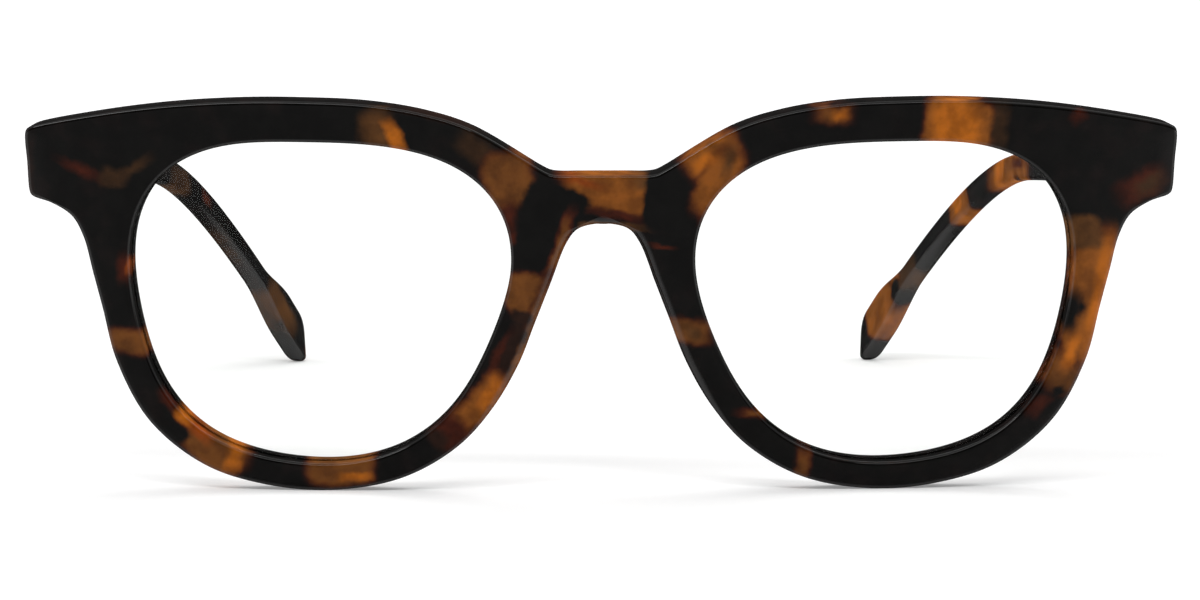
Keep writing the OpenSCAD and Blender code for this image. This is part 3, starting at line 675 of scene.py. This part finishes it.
# Shader maths
class Wire:
    """A shader socket in a node tree; Python's operators on it add Math nodes."""

    def __init__(self, tree, socket):
        self.tree = tree
        self.socket = socket

    def node(self, kind, settings, *inputs, out=0):
        """Adds a node of a kind, with its settings first and then its inputs in order."""
        return add_node(self.tree, kind, settings, *inputs, out=out)

    def maths(self, operation, *inputs):
        """Adds a Math node."""
        return self.node("ShaderNodeMath", {"operation": operation}, *inputs)

    def __add__(self, other):
        return self.maths("ADD", self, other)

    def __mul__(self, other):
        return self.maths("MULTIPLY", self, other)

    __radd__ = __add__
    __rmul__ = __mul__


def add_node(tree, kind, settings, *inputs, out=0):
    """One shader node: settings are its properties, inputs are values, wires or None to leave one alone."""
    node = tree.nodes.new(kind)
    for name, value in settings.items():
        setattr(node, name, value)
    for socket, value in zip(node.inputs, inputs):
        if isinstance(value, Wire):
            tree.links.new(value.socket, socket)
        elif value is not None:
            socket.default_value = value
    return Wire(tree, node.outputs[out])


def smooth_range(value, low, high, start=0.0, end=1.0):
    """From start to end, smoothly, as the value goes from low to high."""
    settings = {"interpolation_type": "SMOOTHSTEP"}
    return value.node("ShaderNodeMapRange", settings, value, low, high, start, end)


def mix_colour(factor, first, second):
    """First colour where the factor is 0 and second where it is 1."""
    tree = factor.tree
    node = tree.nodes.new("ShaderNodeMix")
    node.data_type = "RGBA"
    tree.links.new(factor.socket, node.inputs[0])
    for socket, value in ((node.inputs[6], first), (node.inputs[7], second)):
        if isinstance(value, Wire):
            tree.links.new(value.socket, socket)
        else:
            socket.default_value = value
    return Wire(tree, node.outputs[2])


def noise(place, scale, detail=2.0, out=0):
    """Noise with features of 1 / scale; output 0 is its value and 1 its colour."""
    return place.node("ShaderNodeTexNoise", {}, place, None, scale, detail, out=out)


def vector(place, operation, *others):
    """Vector Math on a place."""
    return place.node("ShaderNodeVectorMath", {"operation": operation}, place, *others)


def in_millimetres(place):
    """The place with metres taken to millimetres."""
    return vector(place, "MULTIPLY", (1000.0, 1000.0, 1000.0))


def linear(hex_colour):
    """Linear colour of a written one, by the usual curve: straight near black and a power above."""
    parts = np.array([int(hex_colour[k:k + 2], 16) for k in (1, 3, 5)]) / 255
    parts = np.where(parts <= 0.04045, parts / 12.92, ((parts + 0.055) / 1.055) ** 2.4)
    return (*map(float, parts), 1.0)


def new_material(name, **constants):
    """A material with one Principled shader whose constant sockets are set by name."""
    material = bpy.data.materials.new(name)
    material.use_nodes = True
    tree = material.node_tree
    shader = tree.nodes["Principled BSDF"]
    for key, value in constants.items():
        shader.inputs[key.replace("_", " ")].default_value = value
    place = Wire(tree, tree.nodes.new("ShaderNodeTexCoord").outputs["Object"])
    return material, tree, shader, place


# Colours of the tortoiseshell, and of what is on or in the metal and the nose pads
BLACK = linear("#0b0a09")
VEIN = linear("#140e0d")
UMBER = linear("#26150e")
RED = linear("#43190c")
RUST = linear("#853d10")
DIM = linear("#3b2615")
OLIVE = linear("#58371a")
BROWN = linear("#6d401a")
AMBER = linear("#864c1a")
ORANGE = linear("#b86518")
PAD_DARK = linear("#3a2012")
PAD_LIGHT = linear("#6b3d1c")
GRAIN_GREY = linear("#a8a59c")

# Width of the hem round a light patch, and the colours whose patches have this darker red hem
HEM = 0.3
HEMMED = (BROWN, AMBER)

# The noises that stir the patches' borders: scale for a millimetre, detail and reach in millimetres
STIRS = ((0.14, 1.0, 1.6), (0.6, 2.0, 1.0))

# Patches of the front as the picture shows them, in millimetres: place across and up, half length, half
# width, tilt in degrees, softness of the border and colour. Later ones lie over earlier ones.
FRONT_PATCHES = [
    (-70.4, 38.0, 5.5, 0.7, 88, 0.9, UMBER), (-63.8, 39.8, 2.9, 0.7, -22, 0.8, RED),
    (-57.9, 39.9, 2.7, 0.7, 31, 0.8, DIM), (-59.8, 38.8, 1.8, 1.2, -10, 0.8, DIM),
    (-27.4, 44.2, 2.3, 2.9, 10, 1.6, OLIVE), (-25.3, 43.6, 1.0, 2.4, 27, 0.7, ORANGE),
    (-19.4, 46.3, 5.8, 0.8, -13, 0.8, UMBER), (-15.4, 42.2, 2.6, 1.5, -38, 1.2, DIM),
    (-11.6, 38.8, 2.8, 3.4, 12, 1.0, BROWN), (-11.7, 34.2, 0.9, 2.6, 4, 0.8, RED),
    (-11.0, 31.2, 1.0, 1.0, 0, 0.9, RED), (1.4, 37.3, 6.6, 2.7, -10, 0.8, AMBER),
    (5.6, 38.4, 2.6, 1.2, -8, 1.0, OLIVE), (-2.6, 38.6, 3.0, 0.6, -18, 0.6, RUST),
    (1.6, 34.3, 4.2, 0.7, -12, 0.6, RED), (0.2, 32.7, 5.4, 0.6, 0, 0.4, OLIVE),
    (-6.0, 35.5, 4.3, 3.1, -22, 0.5, BLACK), (-8.6, 29.9, 3.2, 2.5, 82, 0.5, BLACK),
    (-5.3, 30.6, 3.4, 0.6, 68, 0.4, BROWN), (-9.0, 24.6, 2.6, 3.0, 80, 0.6, BROWN),
    (-9.6, 18.4, 8.6, 1.2, 66, 0.6, BROWN), (-13.2, 16.4, 4.4, 0.6, 64, 0.5, RED),
    (-11.3, 17.9, 4.6, 0.9, 68, 0.5, UMBER), (-10.1, 22.0, 0.9, 1.4, 70, 0.4, UMBER),
    (-15.2, 11.2, 4.2, 1.9, 54, 0.8, AMBER), (-14.2, 12.6, 2.4, 0.9, 56, 0.9, ORANGE),
    (-18.6, 7.2, 2.4, 2.0, 45, 1.1, RED), (-20.2, 6.2, 1.3, 1.6, 45, 0.8, UMBER),
    (-32.3, 3.0, 4.1, 2.7, 2, 0.7, BROWN), (-33.4, 4.4, 2.4, 1.0, 4, 1.0, OLIVE),
    (-30.5, 1.6, 2.0, 0.7, 3, 0.6, ORANGE), (-48.0, 5.5, 4.3, 2.6, -36, 0.7, BROWN),
    (-45.6, 3.9, 1.0, 2.2, -14, 0.9, ORANGE), (-50.4, 8.0, 2.8, 1.1, -42, 0.7, RUST),
    (-51.9, 9.2, 1.3, 0.8, -44, 0.8, ORANGE), (-53.9, 11.2, 1.6, 0.7, -50, 0.7, RED),
    (-52.7, 7.1, 1.7, 1.2, -42, 0.5, BLACK), (-58.3, 18.4, 3.0, 1.6, -6, 0.7, BROWN),
    (-58.7, 27.6, 0.9, 1.8, 0, 0.9, RED), (-58.0, 28.0, 0.5, 1.1, -8, 0.5, RUST),
    (8.5, 36.2, 3.7, 4.2, -8, 0.5, BLACK), (11.8, 34.6, 0.6, 1.5, 6, 0.6, RED),
    (7.4, 30.7, 1.6, 0.3, -6, 0.3, RED), (10.6, 20.1, 2.5, 1.5, -4, 0.7, BROWN),
    (10.9, 20.1, 1.3, 0.9, -4, 0.8, OLIVE), (18.8, 9.5, 1.5, 0.4, -6, 0.4, BROWN),
    (24.4, 3.2, 0.9, 2.1, -8, 0.7, BROWN), (54.0, 10.3, 1.9, 1.1, 50, 0.8, RED),
    (57.0, 14.6, 2.7, 2.0, 60, 0.8, BROWN), (59.9, 23.8, 8.2, 2.7, 83, 0.6, AMBER),
    (61.3, 24.2, 7.0, 1.0, 82, 1.0, ORANGE), (58.0, 17.0, 2.4, 0.8, 66, 0.8, ORANGE),
    (59.0, 31.6, 2.4, 2.6, 90, 0.8, OLIVE), (57.7, 21.9, 3.3, 1.4, 84, 0.9, BLACK),
    (59.0, 22.4, 1.0, 0.9, 45, 0.8, BLACK),
    (62.9, 16.6, 2.6, 0.7, 74, 0.4, BLACK), (56.4, 12.2, 1.1, 0.8, 20, 0.5, BLACK),
    (13.2, 41.6, 3.7, 2.3, 34, 0.8, AMBER), (14.0, 38.3, 4.5, 2.1, 62, 0.8, AMBER),
    (15.4, 41.0, 2.4, 0.8, 80, 0.8, OLIVE), (12.2, 40.9, 1.8, 0.9, 38, 1.1, ORANGE),
    (28.1, 46.9, 2.1, 1.0, -4, 0.9, BROWN),
    (29.0, 46.9, 1.0, 0.7, -4, 0.9, ORANGE), (43.5, 45.2, 4.4, 3.4, -6, 0.6, AMBER),
    (43.2, 45.2, 3.1, 2.8, -6, 1.4, ORANGE), (48.4, 45.0, 1.2, 3.0, -4, 0.8, DIM),
    (58.2, 46.0, 1.1, 0.7, 32, 0.7, RED), (66.3, 37.5, 3.3, 1.8, 30, 1.2, RED),
    (67.2, 37.6, 2.1, 1.2, 30, 1.1, DIM),
]

# Patches of the temples, in millimetres: place along the depth and up, then as above
LEFT_TEMPLE_PATCHES = [
    (-50.0, 42.4, 4.6, 2.4, 20, 0.8, BROWN), (-46.6, 41.2, 1.8, 2.0, 20, 0.6, ORANGE),
    (-35.0, 37.0, 4.6, 1.6, -8, 0.8, RUST), (-22.0, 39.2, 5.0, 1.6, -5, 0.8, BROWN),
    (-9.0, 35.6, 3.6, 1.7, 10, 0.7, AMBER), (3.0, 35.8, 3.0, 1.2, -6, 0.7, RED),
    (21.4, 32.5, 11.4, 2.6, -9, 0.8, AMBER), (17.0, 34.2, 4.6, 1.0, -7, 0.9, RED),
    (18.4, 31.4, 1.6, 0.8, -8, 0.6, UMBER), (27.6, 31.8, 2.6, 1.8, -14, 1.2, ORANGE),
    (44.6, 25.8, 3.6, 2.8, -32, 0.6, AMBER), (45.2, 26.0, 1.6, 1.6, -32, 0.6, ORANGE),
    (60.4, 14.6, 3.2, 2.6, -44, 0.8, DIM), (63.6, 12.8, 1.5, 1.0, -44, 0.5, AMBER),
    (66.4, 8.2, 3.8, 4.2, -56, 0.7, AMBER), (62.6, 11.4, 1.3, 1.9, -34, 0.5, BLACK),
]
RIGHT_TEMPLE_PATCHES = [
    (-47.0, 40.0, 5.4, 1.8, -10, 0.9, RED), (-28.0, 37.8, 5.8, 1.5, 6, 0.8, UMBER),
    (-25.0, 38.4, 2.4, 1.2, 6, 0.6, RUST), (-6.0, 37.2, 4.4, 1.2, -6, 0.7, BROWN),
    (12.0, 33.4, 5.0, 1.3, -4, 0.8, RED), (30.0, 30.8, 5.6, 2.0, -14, 0.8, DIM),
    (42.2, 27.0, 2.2, 1.2, -28, 1.1, RED), (55.0, 15.0, 9.6, 1.3, -41, 0.9, DIM),
    (64.6, 8.8, 4.6, 2.6, -54, 1.2, OLIVE), (71.2, 1.6, 1.5, 3.4, -56, 0.7, BROWN),
    (69.2, 4.2, 0.9, 2.4, -50, 0.5, BLACK),
]


def patch_reach(place, patch):
    """Distance from a patch's centre, 1 at its border: the fourth root of the sum of the fourth powers of
    the distances along and across it, as shares of its halves.

    The place holds millimetres across and up, and 1 as its third part, so that one dot product takes the
    patch's centre off as well.
    """
    sideways, up, half_l, half_w, tilt = patch[:5]
    c, s = towards(tilt).tolist()
    powers = []
    for (x, z), half in (((c, s), half_l), ((-s, c), half_w)):
        weights = (x / half, z / half, -(x * sideways + z * up) / half)
        distance = place.node("ShaderNodeVectorMath", {"operation": "DOT_PRODUCT"}, place, weights, out=1)
        powers.append(distance.maths("POWER", distance, 4.0))
    total = powers[0] + powers[1]
    return total.maths("POWER", total, 0.25)


def inside(reach, patch, grown=0.0):
    """1 inside a patch and 0 outside, with the border as soft as the patch says."""
    half = min(patch[2:4])
    low, high = (half + grown - patch[5]) / half, (half + grown + 0.45 * patch[5]) / half
    return smooth_range(reach, low, high, 1.0, 0.0)


def stirred(in_mm):
    """A place moved by noises, each about as far as its reach, so that borders drawn on it wander."""
    moved = in_mm
    for scale, detail, reach in STIRS:
        push = vector(noise(in_mm, scale, detail, out=1), "SUBTRACT", (0.5, 0.5, 0.5))
        moved = vector(moved, "ADD", vector(push, "MULTIPLY", (reach, reach, reach)))
    return moved


def patched_colour(in_mm, patches, across):
    """Black with faint veins, under the patches and their hems; across is the axis along the piece."""
    parts = [in_mm.node("ShaderNodeSeparateXYZ", {}, stirred(in_mm), out=k) for k in (across, 2)]
    flat = in_mm.node("ShaderNodeCombineXYZ", {}, *parts, 1.0)
    veins = smooth_range(noise(in_mm, 0.3, 3.0), 0.45, 0.75)
    colour = mix_colour(veins, BLACK, VEIN)
    for patch in patches:
        reach, tint = patch_reach(flat, patch), patch[-1]
        if tint in HEMMED:
            colour = mix_colour(inside(reach, patch, HEM), colour, RED)
        colour = mix_colour(inside(reach, patch), colour, tint)
    return colour


def facing_share(tree, axis):
    """How squarely the surface faces along one of its piece's axes, from 0 to 1."""
    normal = Wire(tree, tree.nodes.new("ShaderNodeTexCoord").outputs["Normal"])
    part = add_node(tree, "ShaderNodeSeparateXYZ", {}, normal, out=axis)
    return part.maths("ABSOLUTE", part)


def edge_gloss(tree):
    """A coat that is strongest at middle angles: rounded edges catch the light, flat faces stay deep."""
    aslant = add_node(tree, "ShaderNodeLayerWeight", {}, 0.5, out=1)
    return smooth_range(aslant, 0.03, 0.16, 0.12, 0.7) * smooth_range(aslant, 0.3, 0.62, 1.0, 0.04)


def shell_material(name, patches, across):
    """Tortoiseshell: patches over black, in cloudy shades, with painted light that brightens the walls where
    light fills the acetate.
    """
    material, tree, shader, place = new_material(
        name, IOR=1.48, Specular_IOR_Level=0.0, Coat_Roughness=0.05)
    in_mm = in_millimetres(place)
    colour = patched_colour(in_mm, patches, across)
    # painted light: the colour is up to 1.45 times brighter where the surface turns away from the piece's
    # main facing axis, on the walls and edges
    glow = smooth_range(facing_share(tree, 1 - across), 0.2, 0.9, 1.45, 1.0)
    # the acetate's own cloudy tone, multiplied by the painted wall light above
    cloud_and_wall_light = smooth_range(noise(in_mm, 0.4, 3.0), 0.3, 0.7, 0.62, 1.16) * glow
    clouded_and_lit = colour.node("ShaderNodeVectorMath", {"operation": "SCALE"}, colour, None, None, cloud_and_wall_light)
    wear = noise(in_mm, 1.1, 3.0) * 0.08 + 0.08
    tree.links.new(clouded_and_lit.socket, shader.inputs["Base Color"])
    tree.links.new(wear.socket, shader.inputs["Roughness"])
    tree.links.new(edge_gloss(tree).socket, shader.inputs["Coat Weight"])
    return material


def pad_material():
    """Brown acetate of the nose pads, a little cloudy."""
    material, tree, shader, place = new_material(
        "pad_acetate", IOR=1.48, Specular_IOR_Level=0.4, Coat_Weight=0.2, Coat_Roughness=0.06)
    in_mm = in_millimetres(place)
    colour = mix_colour(smooth_range(noise(in_mm, 0.4, 3.0), 0.35, 0.7), PAD_DARK, PAD_LIGHT)
    tree.links.new(colour.socket, shader.inputs["Base Color"])
    tree.links.new((noise(in_mm, 1.8, 2.0) * 0.08 + 0.12).socket, shader.inputs["Roughness"])
    return material


def lens_material():
    """Clear sheet: its faces mirror a little once they are seen aslant, and its edge doesn't."""
    material = bpy.data.materials.new("clear_lens")
    material.use_nodes = True
    tree = material.node_tree
    tree.nodes.remove(tree.nodes["Principled BSDF"])
    clear = add_node(tree, "ShaderNodeBsdfTransparent", {}, (0.985, 0.99, 0.985, 1.0))
    gloss = add_node(tree, "ShaderNodeBsdfGlossy", {}, (1.0, 1.0, 1.0, 1.0), 0.02)
    face = smooth_range(facing_share(tree, 1), 0.5, 0.9)
    aslant = add_node(tree, "ShaderNodeLayerWeight", {}, 0.5, out=1)
    share = smooth_range(aslant, 0.04, 1.0, 0.003, 0.2) * face
    mixed = add_node(tree, "ShaderNodeMixShader", {}, share, clear, gloss)
    tree.links.new(mixed.socket, tree.nodes["Material Output"].inputs["Surface"])
    return material


def metal_material(name, colour, roughness, grain):
    """Metal with a fine grain in its polish and in its surface, drawn out along the depth."""
    material, tree, shader, place = new_material(name, Metallic=1.0)
    lines = noise(vector(in_millimetres(place), "MULTIPLY", (9.0, 1.2, 9.0)), 1.0, 3.0)
    tone = mix_colour(smooth_range(lines, 0.3, 0.7), linear(colour), GRAIN_GREY)
    tree.links.new(tone.socket, shader.inputs["Base Color"])
    tree.links.new((lines * grain + roughness).socket, shader.inputs["Roughness"])
    bump = place.node("ShaderNodeBump", {}, 0.08, 0.00002)
    tree.links.new(lines.socket, bump.socket.node.inputs["Height"])
    tree.links.new(bump.socket, shader.inputs["Normal"])
    return material


# The object
front_shell = shell_material("shell_front", FRONT_PATCHES, 0)
temple_shells = {True: shell_material("shell_temple_left", LEFT_TEMPLE_PATCHES, 1),
                 False: shell_material("shell_temple_right", RIGHT_TEMPLE_PATCHES, 1)}
hinge_metal = metal_material("hinge_metal", "#c9c6bd", 0.28, 0.15)
screw_steel = metal_material("screw_steel", "#d2d1cd", 0.18, 0.1)
core_wire = metal_material("core_wire", "#bdb9ae", 0.3, 0.1)
pad_acetate = pad_material()
clear_lens = lens_material()


def dress(piece, material, body, node):
    """Gives a new piece its material and body, and hides the CAD node that it stands for."""
    piece.data.materials.clear()
    piece.data.materials.append(material)
    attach(piece, body)
    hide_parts(node)


dress(make_front(), front_shell, "front", "front")
for left in (True, False):
    side = side_name(left)
    temple = "temple_" + side
    dress(make_lens(left), clear_lens, "front", "lens_" + side)
    dress(make_pad(left), pad_acetate, "front", "nose_pad_" + side)
    dress(make_temple(left), temple_shells[left], temple, temple)

CAD_FINISHES = {
    "hinge_front_leaf": hinge_metal, "hinge_temple_leaf": hinge_metal, "hinge_screw": screw_steel,
    "front_leaf_screws": screw_steel, "temple_leaf_screws": screw_steel, "temple_core": core_wire}
for node_name, cad_object in frame["nodes"].items():
    family = node_name.rsplit("_", 1)[0]
    if family in CAD_FINISHES:
        cad_object.data.materials.clear()
        cad_object.data.materials.append(CAD_FINISHES[family])


# Floor, world, lamps and camera, in metres; a lamp has its place, length, width and power
FLOOR_HALF = 8.0
LAMPS = {"lamp_front": ((-0.2, -0.75, 0.95), 1.3, 0.22, 7.0),
         "lamp_behind": ((0.3, 0.7, 1.0), 1.3, 0.3, 4.0)}
LAMP_AIM = Vector((0, 0, 0.02))
CAMERA_PLACE = Vector((-0.0122, -0.6307, 0.0830))
CAMERA_AIM = Vector((-0.0004, -0.0706, 0.0239))
CAMERA_LENS = 138.3
CAMERA_SENSOR = 36


def seen_directly(tree):
    """1 for what the camera, a mirror or a clear sheet sees, and 0 for what lights a surface."""
    rays = tree.nodes.new("ShaderNodeLightPath").outputs
    names = ("Is Camera Ray", "Is Glossy Ray", "Is Transmission Ray")
    direct = [Wire(tree, rays[name]) for name in names]
    return add_node(tree, "ShaderNodeClamp", {}, direct[0] + direct[1] + direct[2])


def make_floor():
    """A wide white floor that takes the object's shadow and is seen a little whiter further off."""
    mesh = bpy.data.meshes.new("floor")
    corners = [(x * FLOOR_HALF, y * FLOOR_HALF, 0) for x, y in ((-1, -1), (1, -1), (1, 1), (-1, 1))]
    mesh.from_pydata(corners, [], [(0, 1, 2, 3)])
    floor = bpy.data.objects.new("floor", mesh)
    bpy.context.scene.collection.objects.link(floor)
    material, tree, shader, place = new_material(
        "floor_white", Base_Color=(0.86, 0.86, 0.86, 1), Roughness=0.9, Specular_IOR_Level=0.0,
        Emission_Strength=1.0)
    away = place.node("ShaderNodeVectorMath", {"operation": "LENGTH"}, place, out=1)
    glow = smooth_range(away, 0.3, 1.2, 0.22, 0.6)
    tree.links.new((seen_directly(tree) * glow).socket, shader.inputs["Emission Color"])
    mesh.materials.append(material)


def make_world():
    """A white studio that is darker on the camera's side, so that the front mirrors little."""
    world = bpy.data.worlds.new("studio")
    bpy.context.scene.world = world
    world.use_nodes = True
    tree = world.node_tree
    background = tree.nodes["Background"]
    background.inputs["Color"].default_value = (1, 1, 1, 1)
    rays = tree.nodes.new("ShaderNodeLightPath").outputs
    backdrop = Wire(tree, rays["Is Camera Ray"])
    way = Wire(tree, tree.nodes.new("ShaderNodeTexCoord").outputs["Generated"])
    depth = add_node(tree, "ShaderNodeSeparateXYZ", {}, way, out=1)
    studio = smooth_range(depth, -0.8, 0.2, 0.1, 0.85)
    strength = backdrop.maths("MAXIMUM", backdrop, studio)
    tree.links.new(strength.socket, background.inputs["Strength"])


def turned_towards(aim, place):
    """The turn that points a lamp or a camera from its place to its aim."""
    return (aim - Vector(place)).to_track_quat("-Z", "Y")


def add_lamp(name, place, length, width, power):
    """A long soft lamp that faces the object and leaves a thin light along its rounded edges."""
    light = bpy.data.lights.new(name, "AREA")
    light.shape = "RECTANGLE"
    light.size = length
    light.size_y = width
    light.energy = power
    lamp = bpy.data.objects.new(name, light)
    lamp.location = place
    lamp.rotation_mode = "QUATERNION"
    lamp.rotation_quaternion = turned_towards(LAMP_AIM, place)
    bpy.context.scene.collection.objects.link(lamp)


def make_camera():
    """In front and a little above, aimed at the lens centres' height in the plane of the front."""
    data = bpy.data.cameras.new("camera")
    data.lens = CAMERA_LENS
    data.sensor_width = CAMERA_SENSOR
    data.clip_start = 0.01
    camera = bpy.data.objects.new("camera", data)
    camera.location = CAMERA_PLACE
    camera.rotation_mode = "QUATERNION"
    camera.rotation_quaternion = turned_towards(CAMERA_AIM, CAMERA_PLACE)
    bpy.context.scene.collection.objects.link(camera)
    bpy.context.scene.camera = camera


make_floor()
make_world()
for lamp_name, lamp_values in LAMPS.items():
    add_lamp(lamp_name, *lamp_values)
make_camera()
bpy.context.scene.view_settings.view_transform = "Standard"
